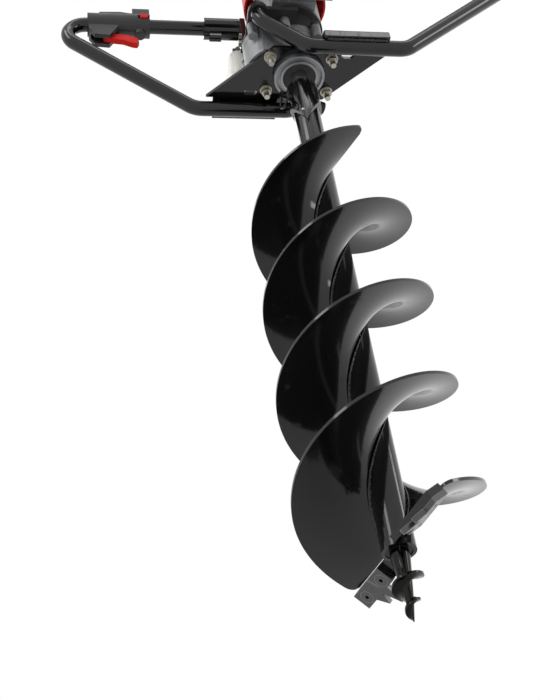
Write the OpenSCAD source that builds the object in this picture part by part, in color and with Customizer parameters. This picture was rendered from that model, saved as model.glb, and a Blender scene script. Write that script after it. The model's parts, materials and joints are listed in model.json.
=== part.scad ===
// Petrol earth auger: a two-flight bit pinned to a two-stage gearbox on a base plate,
// a pair of bent tube handles and a small two-stroke engine above them.
// The origin is the tip of the pilot point, on the drill axis, and +Z is up.

/* [Bit] */
// Diameter over the flights
bit_d = 200; // [160:1:240]
// Length of the bit from the tip to the top of its tube
bit_len = 818; // [760:1:900]
// Height of the lower ends of the flights above the tip
flight_z = 91; // [88:0.5:110]
// Rise of one turn of a flight
flight_pitch = 269; // [240:1:290]
// Turns in each flight
flight_turns = 2.014; // [1.6:0.001:2.2]
// Thickness of a flight along the axis
flight_t = 5; // [3:0.5:7]
// Angle around the axis at which the first flight starts
flight_angle = -74.6; // [-180:0.1:180]
// Outer diameter of the tube
tube_d = 36; // [34:0.5:42]
// Wall of the tube
tube_wall = 3.5; // [3:0.25:4]
// Height of the lower end of the tube
tube_z = 77; // [66:1:82]
// Radius of the pilot point at its shoulder
pilot_r = 10; // [8:0.5:12]
// Radius of the pilot point's screw ridge at its top
ridge_r = 20; // [14:0.5:24]
// Rise of one turn of the screw ridge
ridge_pitch = 25.5; // [20:0.5:30]

/* [Blades] */
// Slope of the blades below the horizontal
blade_slope = 38; // [30:1:45]
// Thickness of a blade
blade_t = 6; // [4:0.5:8]
// Thickness of a blade holder
holder_t = 8; // [6:0.5:10]
// Length of a blade holder down the slope
holder_w = 20; // [19:1:26]
// Length of a blade down the slope
blade_w = 22; // [20:1:36]
// Length of the blade's outer tooth
tooth_l = 13; // [8:1:18]
// Diameter of the blade bolts
blade_bolt_d = 8; // [6:0.5:9]

/* [Coupling] */
// Diameter of the output shaft in the coupling
shaft_d = 25; // [22:0.5:26]
// Length of the output shaft inside the tube
shaft_in = 46; // [36:1:60]
// Wall of the coupling sleeve around the tube
sleeve_wall = 3.5; // [2.5:0.25:5]
// Diameter of the coupling pin
pin_d = 10; // [8:0.5:12]
// Depth of the pin below the top of the tube
pin_drop = 13; // [11:0.5:18]
// Direction of the pin around the axis
pin_angle = 20; // [-180:1:180]
// Direction of the sleeve's pointed tongues around the axis
tongue_angle = -18; // [-180:1:180]
// Height of the tongues
tongue_l = 48; // [20:1:60]
// Distance from the top of the tube to the base plate
head_gap = 52.5; // [46:0.5:70]

/* [Base plate and frame] */
// Thickness of the base plate
plate_t = 6; // [4:0.5:8]
// Diameter of the frame tubes
frame_d = 22; // [20:0.5:25]
// Wall of the frame tubes
frame_wall = 2; // [1.5:0.25:3]
// Distance of each frame tube from the drill axis, front to back
frame_y = 55; // [53:0.5:62]
// Outer end of the straight run under the plate
flat_out = 145; // [138:1:156]
// Outer end of the plate along each frame tube
plate_out = 119; // [100:1:122]
// Height of the folded lip along the plate's outer edges
lip_h = 16; // [10:0.5:18]
// Inner end of the straight run under the plate
flat_in = 5; // [0:0.5:8]
// Slope of the arms
arm_slope = 42; // [38:0.5:46]
// Height of the hand bars above the base plate
bar_h = 190; // [184:1:206]
// Bend radius of the frame tubes along their middle
bend_r = 28; // [25:0.5:30]
// Diameter of the studs that hold the gearbox
stud_d = 8; // [6:1:10]
// Half spacing of the studs, side to side
stud_x = 44; // [42:0.5:46]
// Half spacing of the studs, front to back
stud_y = 28; // [26:0.5:29]
// Length of the slotted holes in the plate
slot_len = 18; // [12:1:22]

/* [Gearbox] */
// Gear module
gear_m = 1; // [0.9:0.05:1.05]
// Teeth on each pinion
pinion_n = 12; // [12:1:13]
// Teeth on each wheel
wheel_n = 60; // [56:1:60]
// Thinning of each gear tooth for backlash
backlash = 0.2; // [0.15:0.01:0.3]
// Wall of the gearbox
box_wall = 5; // [4:0.5:7]
// Thickness of the gearbox floor
floor_t = 12; // [11:0.5:14]
// Width of the output wheel
wheel_w = 12; // [10:0.5:13]
// Thickness of the gearbox cover
cover_t = 14; // [12:0.5:18]
// Outer radius of the boss below the base plate
boss_r = 36; // [33:0.5:38]
// Depth of the boss below the plate
boss_drop = 9; // [8.5:0.25:12]
// Diameter of the cover bolts
bolt_d = 6; // [5:0.5:7]

/* [Clutch] */
// Outer radius of the clutch drum
drum_r = 31; // [28:0.5:31.5]
// Height of the clutch drum
drum_h = 23; // [20:0.5:25]
// Wall of the drum
drum_wall = 2.5; // [2:0.25:4]
// Inside radius of the clutch housing
bell_r = 34; // [33:0.5:34.5]
// Wall of the clutch housing
bell_wall = 4; // [3:0.5:4.5]
// Height of the clutch housing
bell_h = 37; // [35:0.5:42]

/* [Engine] */
// Cylinder bore
bore_d = 44; // [40:0.5:46]
// Piston stroke
stroke = 32; // [28:1:34]
// Length of the connecting rod between centres
rod_len = 62; // [60:1:70]
// Outer radius of the crankcase
case_r = 48; // [47:0.5:54]
// Height of each half of the crankcase
case_h = 31; // [30:0.5:36]
// Number of cooling fins
fin_n = 7; // [4:1:8]
// Half width of the fins
fin_x = 38; // [34:1:40]
// Half height of the fins
fin_z = 34; // [30:1:36]
// Radius of the flywheel
flywheel_r = 47; // [40:1:50]
// Outer radius of the starter cover
cover_r = 62; // [58:1:64]
// Height of the starter cover
starter_h = 62; // [58:1:74]

/* [Tank and silencer] */
// Length of the fuel tank
tank_l = 104; // [90:1:112]
// Depth of the fuel tank, front to back
tank_w = 58; // [50:1:64]
// Height of the fuel tank
tank_h = 66; // [56:1:74]
// Wall of the fuel tank
tank_wall = 3; // [2:0.25:4]
// Width of the silencer, side to side
muffler_w = 42; // [36:1:48]
// Length of the silencer
muffler_l = 54; // [48:1:60]
// Height of the silencer
muffler_h = 54; // [46:1:60]

/* [Controls] */
// Radius of the throttle grip
grip_r = 18; // [16:0.5:19]
// Length of the throttle grip
grip_l = 94; // [90:1:110]
// Depth of the trigger housing below the hand bar
grip_drop = 42; // [40:1:46]
// Thickness of the trigger
trigger_t = 9; // [7:0.5:11]
// Length of the rubber grip
rubber_l = 124; // [100:1:140]
// Radius of the rubber grip
rubber_r = 16.5; // [14.5:0.5:18]

/* [Hidden] */
$fn = 48;
// Running and seating clearances
fit = 0.05;
seat = 0.2;
clear = 0.4;
// Overlap by which a cut passes its faces
cut = 1;

// Bit
bit_r = bit_d / 2;
tube_r = tube_d / 2;
tube_in = tube_r - tube_wall;
plate_z = bit_len + head_gap;
pin_z = bit_len - pin_drop;
flight_steps = 84;
flight_in = tube_r + 0.12;
corner_turn = 0.02;
holder_in = tube_r + 0.3;
holder_y = -flight_t / 2 * sin(blade_slope) - 0.1;
blade_l = 56;
blade_out = bit_r - 4;
blade_in = blade_out - blade_l;
blade_z = -holder_t / 2 - seat / 4 - blade_t;
teeth = [[blade_out - 26, tooth_l], [blade_out - 39, 1.65 * tooth_l]];
head_r = 0.95 * blade_bolt_d;
head_h = 0.45 * blade_bolt_d;
bolt_at = [blade_in + 11, blade_out - 12];
bolt_y = holder_y - holder_w * 0.55;
pilot_neck = 20;
pilot_neck_r = 4;
pilot_tip_r = 0.6;
ridge_z = 5;
ridge_angle = 92;
ridge_turns = (tube_z - 28) / ridge_pitch;
ridge_n = 49;
ridge_fade = 0.1;
shoulder_h = 8;
spigot_h = 26;

// Coupling
shaft_r = shaft_d / 2;
sleeve_r = tube_r + seat + sleeve_wall;
sleeve_top = bit_len + 14;
sleeve_cone = 7;
tongue_z = bit_len - 28;
pin_out = sleeve_r + 16;
clip_r = 11;
clip_wire = 1.6;
clip_x = -pin_out + 5;

// Gearbox: heights are measured from the underside of the base plate
pinion_r = gear_m * pinion_n / 2;
wheel_r = gear_m * wheel_n / 2;
centre = pinion_r + wheel_r;
addendum = 0.7 * gear_m;
dedendum = 1.05 * gear_m;
pressure = 20;
wheel_tip = wheel_r + addendum;
cavity_r = wheel_tip + 2.3;
box_r = cavity_r + box_wall;
floor_z = plate_t + floor_t;
out_z = floor_z + 2;
lay_z = out_z + wheel_w + 5;
lay_w = 9;
wall_z = lay_z + lay_w + 6;
gasket_t = 0.8;
cover_z = wall_z + gasket_t;
bell_z = cover_z + cover_t;
case_z = bell_z + bell_h;
rim_h = 7;
bearing_out = [10, 23.5, 14];
bearing_lay = [5, 11, 6];
bearing_in = [6, 14, 8];
bearing_main = [7.5, 17.5, 11];
seal_h = 7;
lug_r = bolt_d / 2 + 4;
lug_off = cavity_r + bolt_d / 2 + 8;
lug_a = 50;
lug_h = 12;
flange_t = 7;
lugs = [for (s = [-1, 1])
    each [lug_off * [cos(lug_a), s * sin(lug_a)], [-centre / 2, s * lug_off],
          [-centre, 0] + lug_off * [-cos(lug_a), s * sin(lug_a)]]];
studs = [for (x = [-stud_x, stud_x], y = [-stud_y, stud_y]) [x, y]];
boss_clear = 1;
boss_rim = 3.5;
boss_groove = 4;
stud_clear = 0.3;

// Frame: a planar path of corners, as [x, z] above the plate
run_z = -frame_d / 2 - seat;
arm_top = flat_out + (bar_h - run_z) / tan(arm_slope);
riser_x = frame_y + 2;
riser_top = bell_z - seat;
bar_end = 68;
frame_path = [[-bar_end, bar_h], [-arm_top, bar_h], [-flat_out, run_z], [-flat_in, run_z],
              [riser_x, run_z + riser_x + flat_in], [riser_x, riser_top]];
loop_x = arm_top - bend_r * tan((180 - arm_slope) / 2);
frame_sides = 20;
frame_steps = 6;
edge = 7;
notch_x = flat_in + 22;
notch_y = frame_y - frame_d / 2 - 1;
corner_x = plate_out + 10;
lip_y = frame_y + frame_d / 2 + clear;
slot_x = 66;
slot_y = 33;
slot_d = 9;
ear_r = 14;

// Handle brackets and grips
pad_x = 56;
pad_t = 8;
socket_r = frame_d / 2 + 6;
socket_l = 58;
bracket_y = frame_y - 21;
bracket_z = case_z + case_h + 4;
bracket_h = case_h - 8;
screw_d = 5;
grip_out = loop_x - 1;
grip_in = grip_out - grip_l;
house_l = 46.5;
stop_in = 78.5;
stop_r = 8;
stop_drop = 25;
house_t = trigger_t + 14;
slot_t = trigger_t + 2 * clear;
trigger_x = -(grip_out - 28.5);
trigger_z = bar_h - grip_drop + 9;
trigger_pin_d = 4;
lock_t = 8;
lock_x = -(grip_in + 14);
lock_z = bar_h + grip_r + 5;
lock_l = 62;
lock_pin_d = 4;
switch_w = 9;
switch_l = 12;
switch_travel = 3;

// Engine
axis_z = case_z + case_h;
case_top = axis_z + case_h;
chamber_r = case_r - 12;
chamber_h = case_h - 16;
web_r = chamber_r - 2;
web_t = 9;
pin_gap = chamber_h - web_t - 1;
throw = stroke / 2;
crank_pin_r = 7;
crank_r = 7.5;
rod_t = 2 * pin_gap - 2;
deck_y = case_r + 4;
piston_pin_y = throw + rod_len;
piston_pin_r = 5;
crown = 20;
skirt = 16;
bore_r = bore_d / 2;
bore_end = piston_pin_y + crown + 2;
head_end = bore_end + 10;
barrel_wall = 5;
fin_t = 2.5;
fin_first = deck_y + 12;
fin_step = (head_end - fin_t - fin_first) / (fin_n - 1);
port_w = 22;
carb_w = 38;
port_y = head_end - carb_w / 2 - port_w / 2;
port_h = 24;
port_x = fin_x + 2;
flywheel_z = case_top + 5;
flywheel_h = 15;
blade_n = 14;
starter_z = case_top + seat;
starter_wall = 3;
starter_top = starter_z + starter_h;
pulley_z = flywheel_z + flywheel_h + 9;
pulley_h = 13;
pulley_r = 38;
post_r = 6;
rope_d = 4;
rope_z = pulley_z + pulley_h / 2;
handle_y = cover_r + 5;
handle_r = 9;
handle_l = 62;

// Tank, silencer and intake
shelf_z = bell_z + 20;
shelf_t = 6;
tank_x = -80;
tank_y = case_r + 18;
tank_z = shelf_z + shelf_t + seat;
tank_round = 12;
neck_x = tank_x + 30;
neck_y = tank_y + tank_w / 2;
neck_r = 16;
neck_h = 12;
cap_r = 22;
cap_h = 18;
muffler_round = 9;
insulator_t = 8;
carb_x = port_x + insulator_t;
carb_l = 34;
carb_h = 44;
filter_x = carb_x + carb_l + seat;
filter_d = 38;
filter_w = 78;
filter_h = 76;
choke_l = 26;
bulb_r = 9;
bulb_h = 10;
bulb_in = 4;

// Involute gear outline, with its first tooth on +X
function inv(a) = tan(a) - a * PI / 180;
function half_tooth(r, n, rp, rb) =
    90 / n + (inv(pressure) - (r > rb ? inv(acos(rb / r)) : 0)) * 180 / PI - backlash * 45 / (PI * rp);
function gear_points(n) =
    let (rp = gear_m * n / 2, rb = rp * cos(pressure), ra = rp + addendum, rf = rp - dedendum,
         rr = [rf, max(rf + 0.01, rb), (max(rf, rb) + ra) / 2, ra])
    [for (i = [0:n - 1], s = [-1, 1], k = [0:3])
        let (r = rr[s < 0 ? k : 3 - k], a = 360 * i / n + s * half_tooth(r, n, rp, rb))
            r * [cos(a), sin(a)]];

// Faces of a closed grid of rings, and of a tube's wall between two such grids
function ring_quads(n, m, base, flip) =
    [for (i = [0:n - 2], j = [0:m - 1])
        let (a = base + i * m + j, b = base + i * m + (j + 1) % m, c = a + m, d = b + m)
        each flip ? [[a, c, b], [b, c, d]] : [[a, b, c], [b, d, c]]];
function fan(m, base, flip) = [for (j = [1:m - 2])
    flip ? [base, base + j + 1, base + j] : [base, base + j, base + j + 1]];

module gear(n, h) linear_extrude(h) polygon(gear_points(n));
module ring(r_out, r_in, h) difference() {
    cylinder(r = r_out, h = h);
    translate([0, 0, -cut]) cylinder(r = r_in, h = h + 2 * cut);
}
module bearing(b) {
    ring(b[1], b[1] - (b[1] - b[0]) * 0.3, b[2]);
    ring(b[0] + (b[1] - b[0]) * 0.3, b[0], b[2]);
    translate([0, 0, b[2] / 2]) rotate_extrude() translate([(b[0] + b[1]) / 2, 0])
        square([(b[1] - b[0]) * 0.4, b[2] * 0.8], center = true);
}
module hex_bolt(d, l, head) {
    translate([0, 0, -l]) cylinder(d = d, h = l);
    cylinder(d = 1.75 * d, h = head, $fn = 6);
}
module head() translate([0, 0, plate_z]) children();
module both_sides() for (a = [0, 180]) rotate(a) children();
module at(p) translate([p[0], p[1], 0]) children();

// Bit

module bit_tube() color("#1c1d1f") difference() {
    translate([0, 0, tube_z]) ring(tube_r, tube_in, bit_len - tube_z);
    pin_hole();
}
module pin_hole() translate([0, 0, pin_z]) rotate(pin_angle) rotate([0, 90, 0])
    cylinder(d = pin_d + 2 * fit, h = 4 * bit_r, center = true);

// Outer radius of a flight, drawn in towards both of its ends
function flight_edge(s) =
    let (e = min(s, 1 - s) * flight_turns / corner_turn, k = max(0, 1 - e)) bit_r - 10 * k * k;
function flight_ring(s, start) =
    let (a = start + 360 * flight_turns * s, z = flight_z + flight_pitch * flight_turns * s,
         r = flight_edge(s))
    [for (q = [[flight_in, -1], [r, -1], [r, 1], [flight_in, 1]])
        [q[0] * cos(a), q[0] * sin(a), z + q[1] * flight_t / 2]];
module flight(start) {
    corner = corner_turn / flight_turns;
    first = [for (i = [0:3]) corner * i / 4];
    middle = [for (i = [0:flight_steps]) corner + (1 - 2 * corner) * i / flight_steps];
    last = [for (i = [3:-1:0]) 1 - first[i]];
    steps = concat(first, middle, last);
    points = [for (q = steps) each flight_ring(q, start)];
    n = len(steps);
    ends = concat(fan(4, 0, true), fan(4, 4 * (n - 1), false));
    color("#141517") polyhedron(points, concat(ring_quads(n, 4, 0, false), ends));
}
module flight_a() flight(flight_angle);
module flight_b() flight(flight_angle + 180);

module at_flight_end(k) rotate(flight_angle + 180 * k) translate([0, 0, flight_z])
    rotate([blade_slope, 0, 0]) children();
module at_blade_bolts() for (x = bolt_at) translate([x, bolt_y, blade_z]) children();
module blade_bolt_hole() translate([0, 0, -cut])
    cylinder(d = blade_bolt_d + 2 * fit, h = blade_t + holder_t + 2 * cut);
module blade_holder(k) color("#222427") at_flight_end(k) difference() {
    translate([holder_in, holder_y - holder_w, -holder_t / 2])
        cube([blade_out - holder_in, holder_w, holder_t]);
    at_blade_bolts() blade_bolt_hole();
}
module blade_holder_a() blade_holder(0);
module blade_holder_b() blade_holder(1);
module blade(k) color("#303236") at_flight_end(k) difference() {
    translate([0, 0, blade_z]) linear_extrude(blade_t) polygon(concat(
        [[blade_in, holder_y], [blade_out, holder_y], [blade_out, -blade_w]],
        [for (t = teeth) each [[t[0] + 8, -blade_w], [t[0], -blade_w - t[1]], [t[0] - 4, -blade_w]]],
        [[blade_in, -blade_w]]));
    at_blade_bolts() {
        blade_bolt_hole();
        cylinder(r1 = head_r + fit, r2 = blade_bolt_d / 2 + fit, h = head_h);
    }
}
module blade_a() blade(0);
module blade_b() blade(1);
// Countersunk bolts with a hexagon socket, screwed into the holders
module blade_bolts() color("#2a2b2e") for (k = [0, 1]) at_flight_end(k) at_blade_bolts() difference() {
    union() {
        cylinder(r1 = head_r, r2 = blade_bolt_d / 2, h = head_h);
        cylinder(d = blade_bolt_d, h = blade_t + holder_t);
    }
    translate([0, 0, -cut]) cylinder(d = 0.65 * blade_bolt_d, h = cut + 0.5 * blade_bolt_d, $fn = 6);
}

// Screw ridge of the pilot point: a helix that grows wider upwards and fades out at its upper end
function pilot_body(z) = z < pilot_neck ? pilot_tip_r + (pilot_neck_r - pilot_tip_r) * z / pilot_neck :
    pilot_neck_r + (pilot_r - pilot_neck_r) * (z - pilot_neck) / (tube_z - shoulder_h - pilot_neck);
function ridge_ring(s) =
    let (a = ridge_angle + 360 * ridge_turns * s, z = ridge_z + ridge_pitch * ridge_turns * s,
         body = pilot_body(z), reach = body + 3 + (ridge_r - pilot_r) * s,
         tip = body + (reach - body) * min(1, (1 - s) / ridge_fade + 0.1), root = max(0.3, body - 1.5))
    [for (q = [[root, -4], [tip, -1.3], [tip, 1.3], [root, 4]]) [q[0] * cos(a), q[0] * sin(a), z + q[1]]];
module pilot_point() color("#3a3c40") {
    polyhedron([for (i = [0:ridge_n - 1]) each ridge_ring(i / (ridge_n - 1))],
        concat(ring_quads(ridge_n, 4, 0, false), fan(4, 0, true), fan(4, 4 * (ridge_n - 1), false)));
    cylinder(r1 = pilot_tip_r, r2 = pilot_neck_r, h = pilot_neck);
    translate([0, 0, pilot_neck])
        cylinder(r1 = pilot_neck_r, r2 = pilot_r, h = tube_z - shoulder_h - pilot_neck);
    translate([0, 0, tube_z - shoulder_h]) cylinder(r = pilot_r, h = shoulder_h + spigot_h);
    translate([0, 0, tube_z + 1]) cylinder(r = tube_in - fit, h = spigot_h - 1);
}

// Coupling

module coupling_sleeve() color("#232529") difference() {
    union() {
        translate([0, 0, tongue_z - tongue_l])
            cylinder(r = sleeve_r, h = sleeve_top - tongue_z + tongue_l);
        translate([0, 0, sleeve_top]) cylinder(r1 = sleeve_r, r2 = shaft_r + 3, h = sleeve_cone);
    }
    translate([0, 0, tongue_z - tongue_l - cut])
        cylinder(r = tube_r + fit, h = bit_len - tongue_z + tongue_l + cut + seat);
    translate([0, 0, bit_len]) cylinder(r = shaft_r + fit, h = 4 * sleeve_cone + head_gap);
    for (s = [-1, 1]) rotate(tongue_angle) rotate([90, 0, 0]) linear_extrude(4 * sleeve_r, center = true)
        polygon([[0, tongue_z - tongue_l], [s * 2 * sleeve_r, tongue_z + tongue_l],
                 [s * 2 * sleeve_r, tongue_z - 2 * tongue_l], [0, tongue_z - 2 * tongue_l]]);
    pin_hole();
}
module coupling_pin() color("#84868a") translate([0, 0, pin_z]) rotate(pin_angle) difference() {
    rotate([0, 90, 0]) {
        translate([0, 0, -pin_out]) cylinder(d = pin_d, h = pin_out + sleeve_r + 6);
        translate([0, 0, sleeve_r + 1]) cylinder(d = 1.8 * pin_d, h = 6);
    }
    translate([clip_x, 0, 0]) rotate([90, 0, 0])
        cylinder(r = clip_wire + 1.1, h = 4 * pin_d, center = true);
}
module pin_clip() color("#2a2b2d") translate([0, 0, pin_z]) rotate(pin_angle)
    translate([clip_x, 0, -clip_r])
    rotate([0, 90, 0]) rotate_extrude() translate([clip_r, 0]) circle(r = clip_wire, $fn = 16);

// Drive train

module output_shaft() color("#8d8f93") difference() {
    union() {
        translate([0, 0, bit_len - shaft_in])
            cylinder(r = shaft_r, h = plate_z - boss_drop - bit_len + shaft_in - 1);
        head() translate([0, 0, -boss_drop - 2])
            cylinder(r = bearing_out[0] + 2.4, h = boss_drop + 2 - seat);
        head() translate([0, 0, -boss_drop]) cylinder(r = bearing_out[0] - 0.01,
            h = boss_drop + out_z + wheel_w + 2);
    }
    pin_hole();
    head() translate([0, 0, out_z]) cylinder(r = 4.4, h = wheel_w + cover_z);
}
module output_gear() color("#9a9ca0") head() translate([0, 0, out_z]) difference() {
    gear(wheel_n, wheel_w);
    translate([0, 0, -cut]) cylinder(r = bearing_out[0] + fit, h = wheel_w + 2 * cut);
}
module shaft_seal() color("#161616") head() translate([0, 0, -boss_drop + 0.8])
    ring(bearing_out[1] - fit, bearing_out[0] + 2.4 + fit, seal_h);
module output_bearing() color("#a9abaf") head()
    bearing([bearing_out[0], bearing_out[1] - fit, bearing_out[2]]);
module layshaft() color("#9a9ca0") head() translate([-centre, 0, 0]) {
    translate([0, 0, floor_z - bearing_lay[2]])
        cylinder(r = bearing_lay[0] - 0.01, h = cover_z - floor_z + 2 * bearing_lay[2]);
    translate([0, 0, out_z - 1]) rotate(180 / pinion_n) gear(pinion_n, wheel_w + 3);
    translate([0, 0, lay_z]) gear(wheel_n, lay_w);
}
module layshaft_bearings() color("#a9abaf") head() for (z = [floor_z - bearing_lay[2], cover_z])
    translate([-centre, 0, z]) bearing([bearing_lay[0], bearing_lay[1] - fit, bearing_lay[2]]);
module input_shaft() color("#8d8f93") head() {
    translate([0, 0, out_z + 4]) cylinder(r = 4.35, h = lay_z - out_z - 3);
    translate([0, 0, lay_z - 1]) rotate(180 + 180 / pinion_n) gear(pinion_n, lay_w + 2);
    translate([0, 0, lay_z + lay_w]) cylinder(r = bearing_in[0] - 0.01, h = bell_z + 12 - lay_z - lay_w);
}
module input_bearing() color("#a9abaf") head() translate([0, 0, cover_z])
    bearing([bearing_in[0], bearing_in[1] - fit, bearing_in[2]]);

// Oval outline around both shaft centres
module oval(r) {
    circle(r = r);
    translate([-centre, 0]) circle(r = r);
    translate([-centre, -r]) square([centre, 2 * r]);
}
module lug_holes(z, h) for (p = lugs) at(p) translate([0, 0, z]) cylinder(d = bolt_d + 2 * fit, h = h);
module gearbox_housing() color("#aeb0b3") head() difference() {
    union() {
        translate([0, 0, plate_t]) linear_extrude(wall_z - plate_t) oval(box_r);
        translate([0, 0, plate_t]) linear_extrude(floor_t - 2)
            square([2 * stud_x + 2 * edge + 6, 2 * stud_y + 2 * edge + 4], center = true);
        translate([0, 0, -boss_drop]) cylinder(r = boss_r, h = boss_drop + plate_t + cut);
        for (p = lugs) at(p) translate([0, 0, wall_z - lug_h]) cylinder(r = lug_r, h = lug_h);
    }
    translate([0, 0, floor_z]) linear_extrude(wall_z) oval(cavity_r);
    translate([0, 0, -boss_drop - cut]) cylinder(r = bearing_out[1],
        h = boss_drop + cut + bearing_out[2]);
    translate([0, 0, -boss_drop - cut])
        ring(boss_r - boss_rim, bearing_out[1] + boss_rim, boss_groove + cut);
    cylinder(r = bearing_out[1] - 5, h = floor_z + cut);
    translate([-centre, 0, floor_z - bearing_lay[2]])
        cylinder(r = bearing_lay[1], h = bearing_lay[2] + cut);
    lug_holes(wall_z - lug_h + 3, lug_h);
    for (p = studs) at(p) translate([0, 0, plate_t - cut])
        cylinder(d = stud_d + 2 * fit, h = floor_t - 3 + cut);
}
module gearbox_gasket() color("#2b4a63") head() translate([0, 0, wall_z]) difference() {
    linear_extrude(gasket_t) oval(box_r);
    translate([0, 0, -cut]) linear_extrude(gasket_t + 2 * cut) oval(cavity_r);
}
module gearbox_cover() color("#aeb0b3") head() difference() {
    union() {
        translate([0, 0, cover_z]) linear_extrude(cover_t) oval(box_r);
        for (p = lugs) at(p) translate([0, 0, cover_z]) cylinder(r = lug_r, h = cover_t);
    }
    translate([0, 0, cover_z - cut]) cylinder(r = bearing_in[1], h = bearing_in[2] + cut);
    translate([0, 0, cover_z]) cylinder(r = bearing_in[0] + 3, h = cover_t + cut);
    translate([-centre, 0, cover_z - cut]) cylinder(r = bearing_lay[1], h = bearing_lay[2] + cut);
    lug_holes(cover_z - cut, cover_t + 2 * cut);
}
module cover_bolts() color("#6d6f73") head() for (p = lugs) at(p) translate([0, 0, bell_z + flange_t])
    hex_bolt(bolt_d, flange_t + cover_t + gasket_t + lug_h - 4, bolt_d * 0.65);

// Base plate with slanted ends, cut away where the risers pass,
// and with a lip folded down beside each frame tube
module plate_outline() polygon([for (s = [1, -1])
    each [[-s * plate_out, s * notch_y], [-s * plate_out, s * (lip_y + plate_t)],
          [-s * notch_x, s * (lip_y + plate_t)], [-s * (notch_x - 2), s * notch_y],
          [s * (stud_x - 4), s * notch_y], [s * corner_x, -s * notch_y]]]);
module base_plate() color("#191a1c") head() difference() {
    union() {
        linear_extrude(plate_t) plate_outline();
        both_sides() translate([-plate_out, lip_y, plate_t - lip_h])
            cube([plate_out - notch_x, plate_t, lip_h]);
    }
    translate([0, 0, -cut]) cylinder(r = boss_r + boss_clear, h = plate_t + 2 * cut);
    for (p = studs) at(p) translate([0, 0, -cut])
        cylinder(d = stud_d + 2 * stud_clear, h = plate_t + 2 * cut);
    both_sides() translate([-slot_x, slot_y, -cut]) {
        for (s = [-1, 1]) translate([s * (slot_len - slot_d) / 2, 0, 0])
            cylinder(d = slot_d, h = plate_t + 2 * cut);
        translate([-(slot_len - slot_d) / 2, -slot_d / 2, 0])
            cube([slot_len - slot_d, slot_d, plate_t + 2 * cut]);
    }
}
// Each stud carries a washer and a hexagon nut under the plate
module gearbox_studs() color("#8f8a7c") head() for (p = studs) at(p) {
    translate([0, 0, -2.2 * stud_d]) cylinder(d = stud_d, h = 2.2 * stud_d + plate_t + floor_t - 4);
    translate([0, 0, -1.6 - seat / 4]) cylinder(d = 2.2 * stud_d, h = 1.6);
    translate([0, 0, -1.6 - seat / 4 - 0.8 * stud_d])
        cylinder(d = 1.85 * stud_d, h = 0.8 * stud_d, $fn = 6);
}

// Clutch

module clutch_housing() color("#242528") head() difference() {
    union() {
        translate([0, 0, bell_z]) linear_extrude(flange_t) oval(box_r);
        for (p = lugs) at(p) translate([0, 0, bell_z]) cylinder(r = lug_r, h = flange_t);
        translate([0, 0, bell_z]) cylinder(r = bell_r + bell_wall, h = bell_h);
        translate([0, 0, case_z - rim_h]) cylinder(r = case_r, h = rim_h);
        both_sides() translate([riser_x, frame_y, bell_z]) {
            cylinder(r = ear_r, h = flange_t);
            translate([-riser_x, -frame_y + bell_r, 0])
                cube([riser_x, frame_y - bell_r + ear_r / 2, flange_t]);
            translate([-ear_r, -frame_y + ear_r, 0]) cube([2 * ear_r, frame_y - ear_r, flange_t]);
        }
        translate([tank_x + 22, 0, shelf_z]) cube([tank_l - 38, tank_y + tank_w - 10, shelf_t]);
    }
    translate([0, 0, bell_z + 5]) cylinder(r = bell_r, h = bell_h);
    translate([0, 0, bell_z - cut]) cylinder(r = bearing_in[0] + 6, h = 8);
    lug_holes(bell_z - cut, 2 * flange_t);
    both_sides() translate([riser_x, frame_y, bell_z - cut])
        cylinder(d = stud_d + 2 * fit, h = 2 * flange_t);
}
module clutch_drum() color("#7e8084") head() translate([0, 0, bell_z + 7]) {
    ring(drum_r, drum_r - drum_wall, drum_h);
    ring(drum_r - 1, bearing_in[0] + fit, 3);
    ring(bearing_in[0] + 5, bearing_in[0] + fit, 5);
}
// Two shoes that stand clear of the drum until the crankshaft spins fast enough
module clutch_shoes() color("#5d5f63") head() translate([0, 0, bell_z + 14]) for (a = [0, 180])
    rotate(a) difference() {
    ring(drum_r - drum_wall - 1.5, crank_r + fit, drum_h - 8);
    translate([-2 * drum_r, -2 * drum_r, -cut]) cube([4 * drum_r, 2 * drum_r + 1.5, 4 * drum_h]);
}

// Frame

function unit(v) = v / norm(v);
// Corner b between a and c, rounded to radius r as an arc of n steps
function round_corner(a, b, c, r, n) =
    let (u = unit(a - b), v = unit(c - b), half = acos(u * v) / 2, m = b + unit(u + v) * r / sin(half),
         p = b + u * r / tan(half) - m, q = b + v * r / tan(half) - m, turn = 180 - 2 * half)
    [for (i = [0:n]) m + (sin(turn * (1 - i / n)) * p + sin(turn * i / n) * q) / sin(turn)];
// Middle line of a frame tube from the outer end of its hand bar to the top of its riser
function bent_path() = [
    for (i = [1:len(frame_path) - 2])
        each round_corner(frame_path[i - 1], frame_path[i], frame_path[i + 1],
            bend_r, i == 1 ? 2 * frame_steps : frame_steps),
    frame_path[len(frame_path) - 1]];
function tube_rings(path, r) =
    let (last = len(path) - 1)
    [for (i = [0:last])
        let (t = i == 0 ? [-1, 0] : i == last ? [0, 1] : unit(path[i + 1] - path[i - 1]),
             n = [-t[1], t[0]])
        for (j = [0:frame_sides - 1])
            let (a = 360 * j / frame_sides, q = path[i] + r * cos(a) * n)
                [q[0], frame_y + r * sin(a), q[1]]];
module frame_tube() head() {
    path = bent_path();
    n = len(path);
    m = frame_sides;
    ends = [for (e = [0, n - 1], j = [0:m - 1])
        let (a = e * m + j, b = e * m + (j + 1) % m, c = a + n * m, d = b + n * m)
        each e == 0 ? [[a, c, b], [b, c, d]] : [[a, b, c], [b, d, c]]];
    outside = tube_rings(path, frame_d / 2 - fit);
    inside = tube_rings(path, frame_d / 2 - frame_wall + fit);
    polyhedron(concat(outside, inside),
        concat(ring_quads(n, m, 0, false), ring_quads(n, m, n * m, true), ends));
    translate([-loop_x, frame_y, bar_h]) rotate([0, 90, 0])
        ring(frame_d / 2, frame_d / 2 - frame_wall, loop_x - bar_end);
}
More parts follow.
